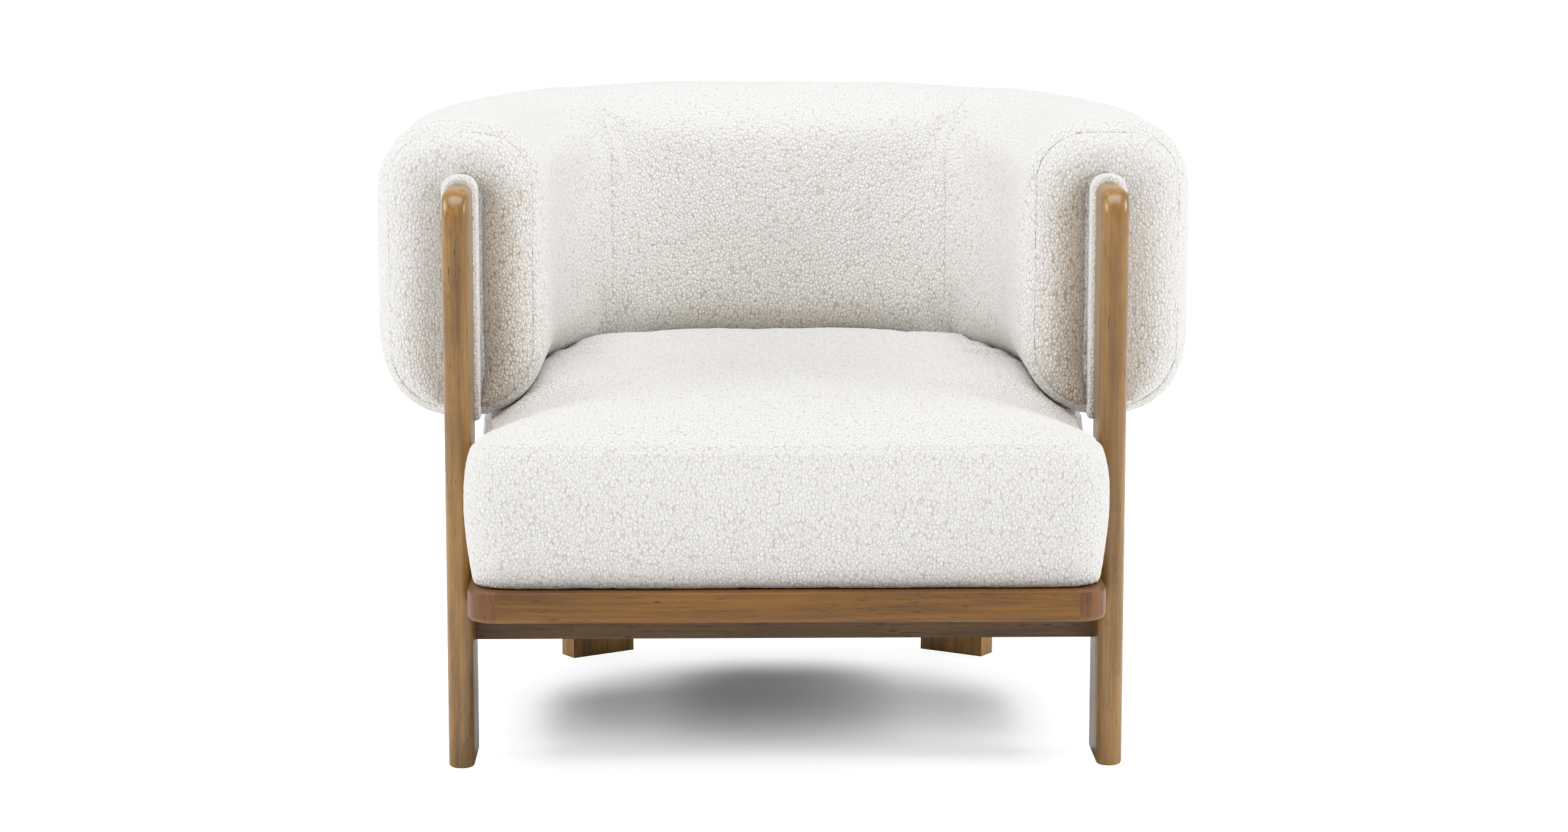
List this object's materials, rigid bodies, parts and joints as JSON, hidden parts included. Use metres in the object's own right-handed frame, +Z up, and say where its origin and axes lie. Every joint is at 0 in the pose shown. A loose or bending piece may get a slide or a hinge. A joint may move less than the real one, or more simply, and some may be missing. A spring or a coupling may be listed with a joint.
{
  "type": "upholstered armchair",
  "caption": "Low lounge armchair: thick horseshoe arm and back band in nubby fabric over a deep cushion, on a timber frame with flat posts.",
  "frame": {"origin": "on the floor, under the middle of the chair's bounding box", "axes": "+Z up; the chair faces -Y, so its back is towards +Y; +X is to the right of someone facing the chair from the front"},
  "size_m": [0.94, 0.865, 0.75],
  "materials": {
    "boucle": "nubby loop pile, ivory with beige flecks",
    "honey_timber": "satin lacquer, open dark pores",
    "chestnut_timber": "satin lacquer, end grain",
    "plywood": "raw",
    "beech": "raw",
    "foam": "open-cell foam",
    "wadding": "soft fibre wadding",
    "black_cloth": "non-woven cloth",
    "zinc_steel": "zinc plated",
    "black_plastic": "matt"
  },
  "bodies": {
    "root": {"front_post_left": "honey_timber", "front_post_right": "honey_timber", "rear_leg_left": "honey_timber", "rear_leg_right": "honey_timber", "front_stretcher": "honey_timber", "front_rail": "honey_timber", "side_rail_left": "honey_timber", "side_rail_right": "honey_timber", "rear_rail": "honey_timber", "front_corner_left": "chestnut_timber", "front_corner_right": "chestnut_timber", "rear_corner_left": "honey_timber", "rear_corner_right": "honey_timber", "seat_deck": "plywood", "webbing_long": "black_cloth", "webbing_cross": "black_cloth", "seat_foam": "foam", "seat_crown": "wadding", "seat_cover": "boucle", "dust_cover": "black_cloth", "lower_rib": "plywood", "upper_rib": "plywood", "rib_uprights": "beech", "leg_cleats": "beech", "arm_block_left": "beech", "arm_block_right": "beech", "inner_panel": "plywood", "outer_panel": "plywood", "arm_foam_left": "foam", "arm_foam_right": "foam", "back_foam": "foam", "arm_cover_left": "boucle", "arm_cover_right": "boucle", "back_cover": "boucle", "end_panel_left": "boucle", "end_panel_right": "boucle", "welt_left": "boucle", "welt_right": "boucle", "post_bolts": "zinc_steel", "post_inserts": "zinc_steel", "side_bolts": "zinc_steel", "side_inserts": "zinc_steel", "leg_bolts": "zinc_steel", "leg_inserts": "zinc_steel", "cleat_bolts": "zinc_steel", "stretcher_dowels": "beech", "rail_dowels": "beech", "deck_screws": "zinc_steel", "glides": "black_plastic"}
  },
  "joints": []
}
